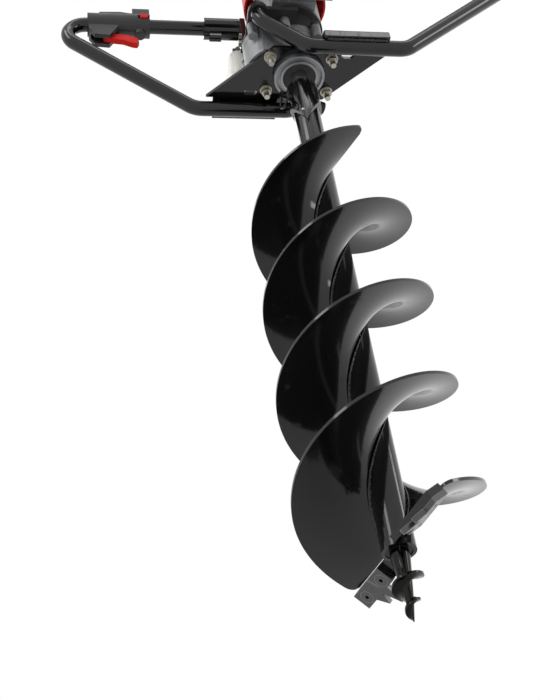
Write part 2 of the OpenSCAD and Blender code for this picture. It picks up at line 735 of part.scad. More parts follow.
module frame_tube_left() color("#17181a") frame_tube();
module frame_tube_right() color("#17181a") rotate(180) frame_tube();
// A bolt through each ear into a plug in the top of the riser, and two screws in each bracket
module frame_bolts() color("#6d6f73") head() both_sides() {
    translate([riser_x, frame_y, bell_z + flange_t]) {
        hex_bolt(stud_d, flange_t + 9, stud_d * 0.65);
        translate([0, 0, -flange_t - 4]) cylinder(r = frame_d / 2 - frame_wall - seat, h = 4 - seat);
    }
    for (y = [bracket_y + 6, bracket_y + 20])
        translate([-pad_x - pad_t - seat / 4, y, bracket_z + bracket_h / 2])
        rotate([0, -90, 0]) hex_bolt(screw_d, pad_t + 12, screw_d * 0.7);
}

module handle_bracket() color("#1e1f22") head() difference() {
    union() {
        translate([-pad_x - pad_t - seat / 4, bracket_y, bracket_z])
            cube([pad_t, frame_y - bracket_y + socket_r - 10, bar_h - bracket_z]);
        translate([-bar_end - socket_l + 8, frame_y, bar_h]) rotate([0, 90, 0])
            cylinder(r = socket_r, h = socket_l - 4.05);
        translate([-bar_end - socket_l + 16, frame_y - 6, bar_h - socket_r - 8]) cube([18, 12, 14]);
    }
    translate([-bar_end - socket_l, frame_y, bar_h]) rotate([0, 90, 0])
        cylinder(d = frame_d + 2 * fit, h = socket_l + 0.2);
    translate([-bar_end - socket_l, frame_y - 1, bar_h - socket_r - 10]) cube([36, 2, socket_r]);
    bracket_holes(pad_x + 3 * pad_t);
}
module bracket_holes(x) for (y = [bracket_y + 6, bracket_y + 20])
    translate([-x, y, bracket_z + bracket_h / 2])
    rotate([0, 90, 0]) cylinder(d = screw_d + 2 * fit, h = 4 * pad_t);
module handle_bracket_left() handle_bracket();
module handle_bracket_right() rotate(180) handle_bracket();

// Grips and controls

module rubber_grip() color("#1a1a1a") head() rotate(180) translate([-grip_out, frame_y, bar_h])
    rotate([0, 90, 0])
    difference() {
        union() {
            cylinder(r = rubber_r, h = rubber_l);
            for (z = [0, rubber_l - 5]) translate([0, 0, z]) cylinder(r = rubber_r + 4, h = 5);
            for (i = [1:8]) translate([0, 0, i * rubber_l / 9 - 3]) cylinder(r = rubber_r + 1.2, h = 6);
        }
        translate([0, 0, -cut]) cylinder(d = frame_d + 2 * fit, h = rubber_l + 2 * cut);
    }

// Whole throttle grip before it is parted along the plane of the frame tube
module grip_body() head() difference() {
    union() {
        translate([-grip_out, frame_y, bar_h]) rotate([0, 90, 0]) cylinder(r = grip_r, h = grip_l);
        translate([-grip_out, frame_y + house_t / 2, bar_h]) rotate([90, 0, 0])
            linear_extrude(house_t) polygon([[2, 0], [2, -0.57 * grip_drop], [10.5, 2 - grip_drop],
                [house_l - 14, -grip_drop], [house_l, 1 - grip_r], [house_l, 0]]);
        translate([-grip_out + stop_in, frame_y, bar_h - stop_drop])
            cylinder(r = stop_r, h = stop_drop);
        translate([-grip_in - 26, frame_y - house_t / 2, bar_h]) cube([26, house_t, grip_r + 12]);
    }
    translate([-grip_out - cut, frame_y, bar_h]) rotate([0, 90, 0])
        cylinder(d = frame_d + 2 * fit, h = grip_l + 2 * cut);
    translate([-grip_out + 5, frame_y - slot_t / 2, bar_h - grip_drop - cut])
        cube([house_l - 5 + cut, slot_t, grip_drop + cut - frame_d / 2 - 3]);
    translate([trigger_x, frame_y, trigger_z]) rotate([90, 0, 0])
        cylinder(d = trigger_pin_d + 2 * fit, h = house_t - 3, center = true);
    translate([-grip_in - 26 - cut, frame_y - lock_t / 2 - clear, bar_h + grip_r - 3])
        cube([20 + cut, lock_t + 2 * clear, 40]);
    translate([-grip_in - lock_l - 16, frame_y - lock_t / 2 - clear, bar_h + grip_r - 3])
        cube([lock_l + 16, lock_t + 2 * clear, 20]);
    translate([lock_x, frame_y, lock_z]) rotate([90, 0, 0])
        cylinder(d = lock_pin_d + 2 * fit, h = lock_t + 7, center = true);
    translate([-grip_in - 9 - switch_l / 2 - switch_travel, frame_y - grip_r - cut,
        bar_h - switch_w / 2 - clear])
        cube([switch_l + 2 * switch_travel, 5 + cut, switch_w + 2 * clear]);
}
module grip_side(s) intersection() {
    grip_body();
    head() translate([-2 * grip_out, frame_y + (s > 0 ? seat / 4 : -4 * grip_r), 0])
        cube([4 * grip_out, 4 * grip_r - seat / 4, 2 * bar_h]);
}
module grip_half_near() color("#202124") grip_side(-1);
module grip_half_far() color("#202124") grip_side(1);
module trigger() color("#d8291f") head() translate([trigger_x, frame_y + trigger_t / 2, trigger_z])
    rotate([90, 0, 0]) difference() {
    union() {
        cylinder(r = 6, h = trigger_t);
        linear_extrude(trigger_t) polygon([[-4, -4.4], [8, -9], [24, -11], [38, -18], [45, -19],
            [48, -13], [46, -4], [34, 2], [20, 5], [0, 6]]);
    }
    translate([0, 0, -cut]) cylinder(d = trigger_pin_d + 4 * fit, h = trigger_t + 2 * cut);
}
module trigger_pin() color("#8d8f93") head() translate([trigger_x, frame_y, trigger_z]) rotate([90, 0, 0])
    cylinder(d = trigger_pin_d, h = house_t - 4, center = true);
module trigger_lock() color("#2a2b2e") head() translate([lock_x, frame_y + lock_t / 2, lock_z])
    rotate([90, 0, 0]) {
    cylinder(r = 4, h = lock_t);
    translate([0, 0, -3]) cylinder(d = lock_pin_d, h = lock_t + 6);
    linear_extrude(lock_t) polygon([[0, -4], [-20, 0], [-lock_l, 4], [-lock_l, 8], [-lock_l / 2, 10],
        [0, 4]]);
}
module stop_switch() color("#c8281e") head()
    translate([-grip_in - 9 - switch_l / 2, frame_y - grip_r - 2, bar_h - switch_w / 2])
    cube([switch_l, 5, switch_w]);

// Engine

module case_half(z, s) difference() {
    union() {
        translate([0, 0, z]) cylinder(r = case_r, h = case_h);
        translate([-fin_x + 6, -deck_y, z]) cube([2 * fin_x - 12, deck_y, case_h]);
        if (s > 0) both_sides() translate([-pad_x, bracket_y, z + 4])
            cube([pad_x - 10, deck_y - bracket_y - 1, case_h - 8]);
        if (s > 0) translate([-pad_x, bracket_y, z + 4]) cube([pad_x - 10, 27, case_h - 8]);
    }
    translate([0, 0, s > 0 ? z - cut : z + case_h - chamber_h])
        cylinder(r = chamber_r, h = chamber_h + cut);
    translate([0, 0, s > 0 ? z + chamber_h - cut : z + case_h - chamber_h - bearing_main[2]])
        cylinder(r = bearing_main[1], h = bearing_main[2] + cut);
    translate([0, 0, z - cut]) cylinder(r = crank_r + 2, h = case_h + 2 * cut);
    translate([0, 0, axis_z]) rotate([90, 0, 0]) cylinder(r = bore_r + 0.5, h = 2 * deck_y);
    if (s > 0) both_sides() bracket_holes(pad_x + cut);
    case_bolt_holes(z);
}
module case_bolt_holes(z) for (s = [-1, 1])
    translate([s * 0.8 * (case_r - 6), 0.55 * (case_r - 6), z - cut])
        cylinder(d = screw_d, h = case_h + 2 * cut);
module crankcase_lower() color("#b4b6b9") head() case_half(case_z, -1);
module crankcase_upper() color("#b4b6b9") head() case_half(axis_z, 1);
module main_bearings() color("#a9abaf") head() for (s = [-1, 1])
    translate([0, 0, axis_z + s * (chamber_h + bearing_main[2] / 2) - bearing_main[2] / 2])
        bearing([bearing_main[0], bearing_main[1] - fit, bearing_main[2]]);
module crankshaft() color("#8d8f93") head() translate([0, 0, axis_z]) {
    for (s = [-1, 1]) translate([0, 0, s * (pin_gap + web_t / 2) - web_t / 2])
        cylinder(r = web_r, h = web_t);
    translate([0, -throw, -pin_gap]) cylinder(r = crank_pin_r, h = 2 * pin_gap);
    translate([0, 0, bell_z + 13 - axis_z])
        cylinder(r = crank_r - 0.01, h = axis_z - bell_z - 13 - pin_gap);
    translate([0, 0, pin_gap]) cylinder(r = crank_r - 0.01,
        h = flywheel_z + flywheel_h + 4 - axis_z - pin_gap);
}
module connecting_rod() color("#96989c") head() translate([0, 0, axis_z - rod_t / 2]) difference() {
    union() {
        translate([0, -throw, 0]) cylinder(r = crank_pin_r + 5, h = rod_t);
        translate([0, -piston_pin_y, 0]) cylinder(r = piston_pin_r + 4, h = rod_t);
        translate([-4.5, -piston_pin_y, 1]) cube([9, rod_len, rod_t - 2]);
    }
    translate([0, -throw, -cut]) cylinder(r = crank_pin_r + fit, h = rod_t + 2 * cut);
    translate([0, -piston_pin_y, -cut]) cylinder(r = piston_pin_r + fit, h = rod_t + 2 * cut);
}
// Piston with its pin
module piston() color("#b9bbbe") head() {
    difference() {
        translate([0, -piston_pin_y + skirt, axis_z]) rotate([90, 0, 0])
            cylinder(r = bore_r - fit, h = skirt + crown);
        translate([0, -piston_pin_y + skirt + cut, axis_z]) rotate([90, 0, 0])
            cylinder(r = bore_r - 5, h = skirt + crown - 6 + cut);
        translate([0, -piston_pin_y, axis_z])
            cylinder(r = piston_pin_r + fit, h = 4 * bore_r, center = true);
    }
    translate([0, -piston_pin_y, axis_z]) cylinder(r = piston_pin_r, h = 2 * bore_r - 6, center = true);
}
module cylinder_bore(r, a, b) translate([0, -a, axis_z]) rotate([90, 0, 0]) cylinder(r = r, h = b - a);
module cylinder_block() difference() {
    union() {
        cylinder_bore(bore_r + barrel_wall, deck_y + seat / 4, head_end);
        translate([-fin_x + 6, -deck_y - 6, axis_z - case_h + 3])
            cube([2 * fin_x - 12, 6 - seat / 4, 2 * case_h - 6]);
        for (i = [0:fin_n - 1]) translate([-fin_x, -fin_first - i * fin_step - fin_t, axis_z - fin_z])
            cube([2 * fin_x, fin_t, 2 * fin_z]);
        for (s = [-1, 1]) translate([s > 0 ? 0 : -port_x, -port_y - port_w, axis_z - port_h / 2])
            cube([port_x, port_w, port_h]);
    }
    cylinder_bore(bore_r, deck_y - cut, bore_end);
    cylinder_bore(5.1, deck_y, head_end + cut);
    for (s = [-1, 1]) translate([0, -port_y - port_w / 2, axis_z]) rotate([0, s * 90, 0])
        cylinder(r = 7, h = 2 * port_x);
}
module cylinder_node() color("#9b9da1") head() cylinder_block();
module spark_plug() color("#d9d7cf") head() translate([0, -head_end, axis_z]) rotate([90, 0, 0]) {
    translate([0, 0, bore_end - head_end + 1]) cylinder(r = 5, h = head_end - bore_end - 1);
    cylinder(r = 9, h = 7, $fn = 6);
    translate([0, 0, 7]) cylinder(r = 5.5, h = 20);
    translate([0, 0, 27]) cylinder(r = 3, h = 6);
}
module rounded_box(size, r) hull() for (x = [r, size[0] - r], y = [r, size[1] - r], z = [r, size[2] - r])
    translate([x, y, z]) sphere(r = r, $fn = 24);
module muffler() color("#3b3c3f") head() difference() {
    union() {
        translate([port_x + seat / 4, -port_y - port_w / 2 - muffler_l / 2, axis_z - muffler_h / 2])
            rounded_box([muffler_w, muffler_l, muffler_h], muffler_round);
        translate([port_x + seat / 4, -port_y - port_w, axis_z - port_h / 2]) cube([12, port_w, port_h]);
        translate([port_x + muffler_w * 0.6, -port_y - port_w / 2 - muffler_l / 2 - 10, axis_z])
            rotate([-90, 0, 0]) cylinder(r = 7, h = 16);
    }
    translate([port_x, -port_y - port_w / 2, axis_z]) rotate([0, 90, 0]) cylinder(r = 7, h = 16);
    translate([port_x + muffler_w * 0.6, -port_y - port_w / 2 - muffler_l / 2 - 11, axis_z])
        rotate([-90, 0, 0]) cylinder(r = 5, h = 20);
}
// Carburettor with its heat insulator, throttle barrel and bowl
module carburettor() color("#a1a3a6") head() translate([0, -port_y - port_w / 2, axis_z]) difference() {
    union() {
        translate([-carb_x, -port_w / 2, -port_h / 2]) cube([insulator_t - seat / 4, port_w, port_h]);
        translate([-carb_x - carb_l, -carb_w / 2, -carb_h / 2]) cube([carb_l, carb_w, carb_h]);
        translate([-carb_x - carb_l / 2, 0, carb_h / 2]) cylinder(r = 10, h = 12);
    }
    rotate([0, -90, 0]) cylinder(r = 7, h = 2 * carb_x + carb_l);
    translate([-carb_x - carb_l / 2, -carb_w / 2 - cut, 0]) rotate([-90, 0, 0])
        cylinder(r = 3 + fit, h = 10 + cut);
    translate([-carb_x - carb_l / 2, 0, -carb_h / 2 - cut])
        cylinder(r = bulb_r + fit, h = bulb_in + 5 + cut);
}
module air_filter() color("#26272a") head() translate([0, -port_y - port_w / 2, axis_z]) difference() {
    translate([-filter_x - filter_d, -filter_w / 2, -filter_h / 2])
        rounded_box([filter_d, filter_w, filter_h], 9);
    translate([-filter_x - 8, 0, 0]) rotate([0, 90, 0]) cylinder(r = 7, h = 20);
}
module choke_lever() color("#c8281e") head()
    translate([-carb_x - carb_l / 2, -port_y - port_w / 2 - carb_w / 2, axis_z]) rotate([90, 0, 0]) {
    translate([0, 0, -9]) cylinder(r = 3, h = 9 + 4.5);
    translate([0, 0, 0.5]) cylinder(r = 6, h = 4);
    translate([-3.5, 0, 0.5]) cube([7, choke_l, 4]);
}
module primer_bulb() color("#c9b06a") head()
    translate([-carb_x - carb_l / 2, -port_y - port_w / 2, axis_z - carb_h / 2]) mirror([0, 0, 1]) {
    translate([0, 0, -bulb_in]) cylinder(r = bulb_r, h = bulb_in + 2);
    translate([0, 0, 2]) cylinder(r1 = bulb_r - 1, r2 = bulb_r * 0.6, h = bulb_h - 2);
}

module fuel_tank() color("#e4e2da") head() difference() {
    union() {
        translate([tank_x, tank_y, tank_z]) rounded_box([tank_l, tank_w, tank_h], tank_round);
        translate([neck_x, neck_y, tank_z + tank_h - 2]) cylinder(r = neck_r, h = neck_h + 2);
    }
    translate([tank_x, tank_y, tank_z] + tank_wall * [1, 1, 1])
        rounded_box([tank_l, tank_w, tank_h] - 2 * tank_wall * [1, 1, 1], tank_round - tank_wall);
    translate([neck_x, neck_y, tank_z + tank_h - 2 * tank_wall])
        cylinder(r = neck_r - tank_wall, h = neck_h + 4 * tank_wall);
}
module fuel_cap() color("#1d1e20") head() translate([neck_x, neck_y, tank_z + tank_h + 3]) difference() {
    union() {
        cylinder(r = cap_r, h = cap_h);
        for (a = [0:30:330]) rotate(a) translate([cap_r, 0, 0]) cylinder(r = 2.2, h = cap_h);
    }
    translate([0, 0, -cut]) cylinder(r = neck_r + clear, h = neck_h - 3 + cut + clear);
}

// Flywheel with its ring of fan blades
module flywheel() color("#a5a7aa") head() translate([0, 0, flywheel_z]) difference() {
    union() {
        cylinder(r = flywheel_r, h = flywheel_h * 0.4);
        cylinder(r = 15, h = flywheel_h);
        for (a = [0:360 / blade_n:359]) rotate(a) translate([24, -1, 0])
            cube([flywheel_r - 25, 2, flywheel_h]);
    }
    translate([0, 0, -cut]) cylinder(r = crank_r + fit, h = 2 * flywheel_h);
}
module starter_cover() color("#d8291f") head() difference() {
    union() {
        translate([0, 0, starter_z]) cylinder(r = cover_r, h = starter_h - 14);
        translate([0, 0, starter_z + starter_h - 14]) cylinder(r1 = cover_r, r2 = cover_r - 20, h = 14);
        translate([0, 0, rope_z]) rotate([-90, 0, 0]) cylinder(r = 8, h = cover_r + 4);
    }
    difference() {
        union() {
            translate([0, 0, starter_z - cut]) cylinder(r = cover_r - starter_wall, h = starter_h - 13);
            translate([0, 0, starter_z + starter_h - 14])
                cylinder(r1 = cover_r - starter_wall, r2 = cover_r - 20 - starter_wall,
                    h = 14 - starter_wall);
        }
        translate([0, 0, pulley_z - 2]) cylinder(r = post_r, h = starter_top - pulley_z);
    }
    translate([0, 0, rope_z]) rotate([-90, 0, 0]) cylinder(d = rope_d + 1, h = 2 * cover_r);
    for (a = [0:30:330]) rotate(a) translate([cover_r - 34, -2.5, starter_top - 16]) cube([18, 5, 20]);
    for (a = [15:15:165]) rotate(180 + a) translate([cover_r - 10, -2.5, flywheel_z])
        cube([20, 5, flywheel_h]);
}
module starter_pulley() color("#e6e4dd") head() translate([0, 0, pulley_z]) difference() {
    rotate_extrude() polygon([[post_r + fit, 0], [pulley_r, 0], [pulley_r, 2], [pulley_r - 6, 4],
        [pulley_r - 6, pulley_h - 4],
        [pulley_r, pulley_h - 2], [pulley_r, pulley_h], [post_r + fit, pulley_h]]);
    for (a = [0:60:300]) rotate(a) translate([20, 0, -cut]) cylinder(r = 6, h = pulley_h + 2 * cut);
}
module starter_handle() color("#1d1e20") head() translate([0, handle_y, rope_z]) {
    rotate([-90, 0, 0]) cylinder(r1 = 6, r2 = 8, h = 10);
    translate([-handle_l / 2, 16, 0]) rotate([0, 90, 0]) cylinder(r = handle_r, h = handle_l);
    for (s = [-1, 1]) translate([s * handle_l / 2, 16, 0]) sphere(r = handle_r);
    translate([0, -18, 0]) rotate([-90, 0, 0]) cylinder(d = rope_d, h = 20);
}

bit_tube();
flight_a();
flight_b();
blade_holder_a();
blade_holder_b();
blade_a();
blade_b();
blade_bolts();
pilot_point();
coupling_sleeve();
coupling_pin();
pin_clip();
output_shaft();
output_gear();
shaft_seal();
output_bearing();
layshaft();
layshaft_bearings();
input_shaft();
input_bearing();
gearbox_housing();
gearbox_gasket();
gearbox_cover();
cover_bolts();
base_plate();
gearbox_studs();
clutch_housing();
clutch_drum();
clutch_shoes();
frame_tube_left();
frame_tube_right();
frame_bolts();
handle_bracket_left();
handle_bracket_right();
rubber_grip();
grip_half_near();
grip_half_far();
trigger();
trigger_pin();
trigger_lock();
stop_switch();
crankcase_lower();
crankcase_upper();
main_bearings();
crankshaft();
connecting_rod();
piston();
cylinder_node();  // cylinder
spark_plug();
muffler();
carburettor();
air_filter();
choke_lever();
primer_bulb();
fuel_tank();
fuel_cap();
flywheel();
starter_cover();
starter_pulley();
starter_handle();
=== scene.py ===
"""Dresses the earth auger from model.glb with smooth pieces and weld beads, and finishes every
part.
"""

import json
from math import pi, radians, sqrt, tan

import bmesh
import bpy
from bpy.props import FloatProperty, FloatVectorProperty, IntProperty, PointerProperty
from mathutils import Matrix, Vector


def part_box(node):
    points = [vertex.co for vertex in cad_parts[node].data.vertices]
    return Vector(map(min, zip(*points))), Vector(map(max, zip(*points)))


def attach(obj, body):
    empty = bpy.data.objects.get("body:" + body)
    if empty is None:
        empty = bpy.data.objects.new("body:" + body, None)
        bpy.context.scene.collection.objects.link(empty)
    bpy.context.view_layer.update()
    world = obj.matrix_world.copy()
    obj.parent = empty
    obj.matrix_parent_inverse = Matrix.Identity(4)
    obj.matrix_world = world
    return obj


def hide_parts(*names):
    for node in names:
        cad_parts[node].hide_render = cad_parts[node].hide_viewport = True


bl_info = {
    "name": "Earth Auger Dressing",
    "version": (1, 0, 0),
    "blender": (4, 5, 0),
    "location": "3D View > Sidebar > Auger",
    "description": "Builds the smooth pieces of an earth auger and the finishes of all its parts",
    "category": "Object",
}

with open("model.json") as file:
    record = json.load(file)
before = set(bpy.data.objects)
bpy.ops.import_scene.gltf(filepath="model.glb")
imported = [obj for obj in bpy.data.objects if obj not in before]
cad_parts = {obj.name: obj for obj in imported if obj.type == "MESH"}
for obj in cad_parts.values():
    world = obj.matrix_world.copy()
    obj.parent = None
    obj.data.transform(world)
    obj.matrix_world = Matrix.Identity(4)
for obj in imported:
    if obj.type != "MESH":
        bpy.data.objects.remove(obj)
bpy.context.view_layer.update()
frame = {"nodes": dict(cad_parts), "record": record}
NODES = frame["nodes"]
RECORD = frame["record"]
BODY_OF = {node: body for body, nodes in RECORD["behaviour"]["bodies"].items() for node in nodes}

TUBE_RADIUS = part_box("bit_tube")[1].x
FRAME_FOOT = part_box("frame_tube_left")[0].z
FRAME_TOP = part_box("frame_tube_left")[1].z
LIP_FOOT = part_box("base_plate")[0].z

# Turns of the paired pieces about the drill axis.
BIT_TURNS = {"a": 0.0, "b": pi}
FRAME_TURNS = {"left": 0.0, "right": pi}


# Sizes and colours


class AugerBit(bpy.types.PropertyGroup):
    """Sizes of the bit"""

    radius: FloatProperty(
        name="Radius", description="Outer radius of the flights", default=0.1, unit="LENGTH"
    )
    pitch: FloatProperty(
        name="Pitch", description="Rise of one turn", default=0.269, unit="LENGTH"
    )
    turns: FloatProperty(name="Turns", description="Turns in each flight", default=2.026)
    start: FloatProperty(
        name="Start",
        description="Angle at which the first flight starts",
        default=radians(-74.6),
        subtype="ANGLE",
    )
    foot: FloatProperty(
        name="Foot", description="Height of the lower ends", default=0.091, unit="LENGTH"
    )
    thickness: FloatProperty(
        name="Thickness", description="Thickness along the axis", default=0.004, unit="LENGTH"
    )
    corner: FloatProperty(
        name="Corner", description="Radius of the end corners", default=0.012, unit="LENGTH"
    )
    steps: IntProperty(name="Steps", description="Steps in each flight", default=540, min=24)
    bead: FloatProperty(
        name="Bead", description="Radius of the weld beads", default=0.0024, unit="LENGTH"
    )


class AugerFrame(bpy.types.PropertyGroup):
    """Sizes of the bent handle tubes"""

    radius: FloatProperty(
        name="Radius", description="Outer radius of the tubes", default=0.011, unit="LENGTH"
    )
    bend: FloatProperty(
        name="Bend", description="Bend radius along the middle", default=0.028, unit="LENGTH"
    )
    offset: FloatProperty(
        name="Offset", description="Distance from the drill axis", default=0.055, unit="LENGTH"
    )
    slope: FloatProperty(
        name="Slope", description="Slope of the arms", default=radians(42), subtype="ANGLE"
    )
    flat_out: FloatProperty(
        name="Flat out", description="Outer end of the flat run", default=0.145, unit="LENGTH"
    )
    flat_in: FloatProperty(
        name="Flat in", description="Inner end of the flat run", default=0.005, unit="LENGTH"
    )
    bar_end: FloatProperty(
        name="Bar end", description="Inner end of the hand bar", default=0.068, unit="LENGTH"
    )
    riser: FloatProperty(
        name="Riser", description="Place of the riser, side to side", default=0.057, unit="LENGTH"
    )
    riser_top: FloatProperty(
        name="Riser top", description="Height of the riser's end", default=0.0778, unit="LENGTH"
    )


COLOUR = {"subtype": "COLOR", "size": 3, "min": 0, "max": 1}


class AugerColours(bpy.types.PropertyGroup):
    """Colours of the finishes"""

    paint: FloatVectorProperty(
        name="Paint", description="Glossy black paint", default=(0.003, 0.003, 0.0035), **COLOUR
    )
    plastic: FloatVectorProperty(
        name="Plastic",
        description="Moulded black plastic",
        default=(0.016, 0.016, 0.017),
        **COLOUR,
    )
    rubber: FloatVectorProperty(
        name="Rubber", description="Black rubber", default=(0.013, 0.013, 0.013), **COLOUR
    )
    red: FloatVectorProperty(
        name="Red", description="Red plastic", default=(0.56, 0.007, 0.004), **COLOUR
    )
    cast: FloatVectorProperty(
        name="Casting", description="Cast aluminium", default=(0.33, 0.335, 0.345), **COLOUR
    )
    steel: FloatVectorProperty(
        name="Steel", description="Bare steel", default=(0.46, 0.46, 0.47), **COLOUR
    )
    zinc: FloatVectorProperty(
        name="Zinc", description="Plated fasteners", default=(0.44, 0.42, 0.36), **COLOUR
    )
    blade: FloatVectorProperty(
        name="Blade", description="Hardened blade steel", default=(0.10, 0.10, 0.103), **COLOUR
    )
    dark: FloatVectorProperty(
        name="Dark steel",
        description="Blackened steel of the pilot point and the coupling pin",
        default=(0.022, 0.022, 0.021),
        **COLOUR,
    )
    heated: FloatVectorProperty(
        name="Heated steel",
        description="Blued plate of the silencer",
        default=(0.055, 0.055, 0.06),
        **COLOUR,
    )
    tank: FloatVectorProperty(
        name="Tank", description="White tank plastic", default=(0.78, 0.77, 0.72), **COLOUR
    )
    floor: FloatVectorProperty(
        name="Floor", description="Pale floor", default=(0.86, 0.86, 0.86), **COLOUR
    )


def settings(group):
    """The scene's settings of that group."""
    return getattr(bpy.context.scene, group)


# Node trees


class Wire:
    """A value in a node tree, which takes part in Python arithmetic."""

    def __init__(self, graph, socket):
        self.graph, self.socket = graph, socket

    def _math(self, operation, first, second):
        return self.graph.node("Math", {"operation": operation}, {0: first, 1: second})

    def __add__(self, other):
        return self._math("ADD", self, other)

    def __radd__(self, other):
        return self._math("ADD", other, self)

    def __sub__(self, other):
        return self._math("SUBTRACT", self, other)

    def __rsub__(self, other):
        return self._math("SUBTRACT", other, self)

    def __mul__(self, other):
        return self._math("MULTIPLY", self, other)

    def __rmul__(self, other):
        return self._math("MULTIPLY", other, self)


def set_stops(ramp, stops):
    """Gives a ramp its stops, as pairs of a place and a grey level, with eased steps between."""
    ramp.interpolation = "EASE"
    for index, (place, level) in enumerate(stops):
        stop = ramp.elements[index] if index < 2 else ramp.elements.new(place)
        stop.position, stop.color = place, (level, level, level, 1)


class Graph:
    """A node tree that is built node by node."""

    def __init__(self, tree):
        self.tree = tree

    def node(self, kind, options=(), sockets=(), out=0):
        """Adds a node, sets its options and then its sockets, and returns one of its outputs."""
        made = self.tree.nodes.new("ShaderNode" + kind)
        for name, value in dict(options).items():
            if name == "stops":
                set_stops(made.color_ramp, value)
            else:
                setattr(made, name, value)
        for name, value in dict(sockets).items():
            self.feed(made.inputs[name], value)
        return Wire(self, made.outputs[out])

    def feed(self, socket, value):
        """Links a wire to a socket, or sets the socket to a number, a vector or a colour."""
        if isinstance(value, Wire):
            self.tree.links.new(value.socket, socket)
        elif socket.type == "RGBA" and len(value) == 3:
            socket.default_value = (*value, 1)
        else:
            socket.default_value = value

    def mix(self, share, first, second):
        """Goes from the first colour to the second as share goes from 0 to 1."""
        return self.node("Mix", {"data_type": "RGBA"}, {0: share, 6: first, 7: second}, out=2)


class Finish(Graph):
    """One material, built around a Principled shader."""

    def __init__(self, name):
        self.material = bpy.data.materials.new(name)
        self.material.use_nodes = True
        super().__init__(self.material.node_tree)
        self.shader = self.tree.nodes["Principled BSDF"]
        self.place = self.node("TexCoord", out="Object")

    def surface(self, **sockets):
        """Sets sockets of the Principled shader, named with an underscore for each space."""
        for name, value in sockets.items():
            socket = name.replace("_", " ").title().replace("Ior", "IOR")
            self.feed(self.shader.inputs[socket], value)

    def noise(self, scale, detail=3.0, stretch=(1, 1, 1)):
        """Noise with about scale patches to the metre, drawn out where the stretch is small."""
        where = self.node("Mapping", sockets={"Vector": self.place, "Scale": stretch})
        sockets = {"Vector": where, "Scale": scale, "Detail": detail}
        return self.node("TexNoise", sockets=sockets, out="Fac")

    def between(self, value, low, high):
        """0 below low and 1 above high, and smooth between them."""
        sockets = {"Value": value, "From Min": low, "From Max": high}
        return self.node("MapRange", {"interpolation_type": "SMOOTHSTEP"}, sockets)

    def rounded(self, radius):
        """The surface's direction, with its edges rounded off by radius."""
        return self.node("Bevel", {"samples": 4}, {"Radius": radius})

    def painted_edge_highlight(self, width):
        """1 along the sharp edges of a piece, about as wide as width, and 0 on its faces: the mask
        of a painted highlight along the edges.
        """
        faced = self.node("NewGeometry", out="Normal")
        sockets = {0: self.rounded(width), 1: faced}
        alike = self.node("VectorMath", {"operation": "DOT_PRODUCT"}, sockets, out="Value")
        return self.between(1 - alike, low=0.02, high=0.25)

    def relief(self, value, depth, edge=0.0006):
        """Bumps the surface by value times depth, over edges that are rounded off by edge."""
        sockets = {"Height": value, "Distance": depth, "Normal": self.rounded(edge)}
        self.surface(normal=self.node("Bump", sockets=sockets))


# Finishes


def tint(colour, gain, lift=0.0):
    """A colour that is brightened or darkened by gain and then lifted."""
    return [part * gain + lift for part in colour]


def gloss_paint(name, colour):
    """Sprayed gloss paint with a little orange peel, dust and faint scuffs."""
    f = Finish(name)
    cloud, peel = f.noise(scale=11, detail=4), f.noise(scale=420, detail=1)
    scuff = f.between(f.noise(scale=75, detail=7, stretch=(1, 1, 0.25)), low=0.60, high=0.74)
    dust = f.between(f.noise(scale=6, detail=5), low=0.45, high=0.8)
    f.surface(
        base_color=f.mix(scuff * 0.3 + dust * 0.08, colour, tint(colour, gain=2, lift=0.02)),
        roughness=0.07 + cloud * 0.08 + scuff * 0.16 + dust * 0.05,
        coat_weight=0.12 - scuff * 0.1,
        coat_roughness=0.04,
        specular_ior_level=0.4,
    )
    f.relief(peel * 0.6 + cloud * 4, depth=0.00005)
    return f.material


def weld(name, colour):
    """Painted weld bead, with the ripples that the welder's passes leave; their crests carry a
    painted highlight.
    """
    f = Finish(name)
    ripple = f.noise(scale=330, detail=2)
    # Painted highlight: the crests of the ripples are lightened in the base colour.
    crest_highlight = f.between(ripple, low=0.5, high=0.75)
    f.surface(
        base_color=f.mix(crest_highlight, colour, tint(colour, gain=2, lift=0.02)),
        roughness=0.18 + ripple * 0.2,
    )
    f.relief(ripple, depth=0.0018, edge=0.0003)
    return f.material


def casting(name, colour):
    """Sand cast aluminium with fine grain and darker hollows."""
    f = Finish(name)
    grain, cloud = f.noise(scale=1500, detail=3), f.noise(scale=28, detail=5)
    hollow = f.between(cloud, low=0.35, high=0.75)
    f.surface(
        base_color=f.mix(hollow, colour, tint(colour, gain=0.72)),
        metallic=0.92,
        roughness=0.36 + grain * 0.2 + cloud * 0.08,
    )
    f.relief(grain + cloud * 0.5, depth=0.00025)
    return f.material


def bare_steel(name, colour, roughness=0.22, stretch=(1, 1, 14)):
    """Turned or ground steel with fine tool marks and a few dull patches."""
    f = Finish(name)
    marks = f.noise(scale=260, detail=4, stretch=stretch)
    dull = f.between(f.noise(scale=40, detail=4), low=0.5, high=0.8)
    f.surface(
        base_color=f.mix(dull * 0.6 + marks * 0.25, colour, tint(colour, gain=0.6)),
        metallic=1.0,
        roughness=roughness + marks * 0.12 + dull * 0.14,
    )
    f.relief(marks, depth=0.00006, edge=0.0004)
    return f.material


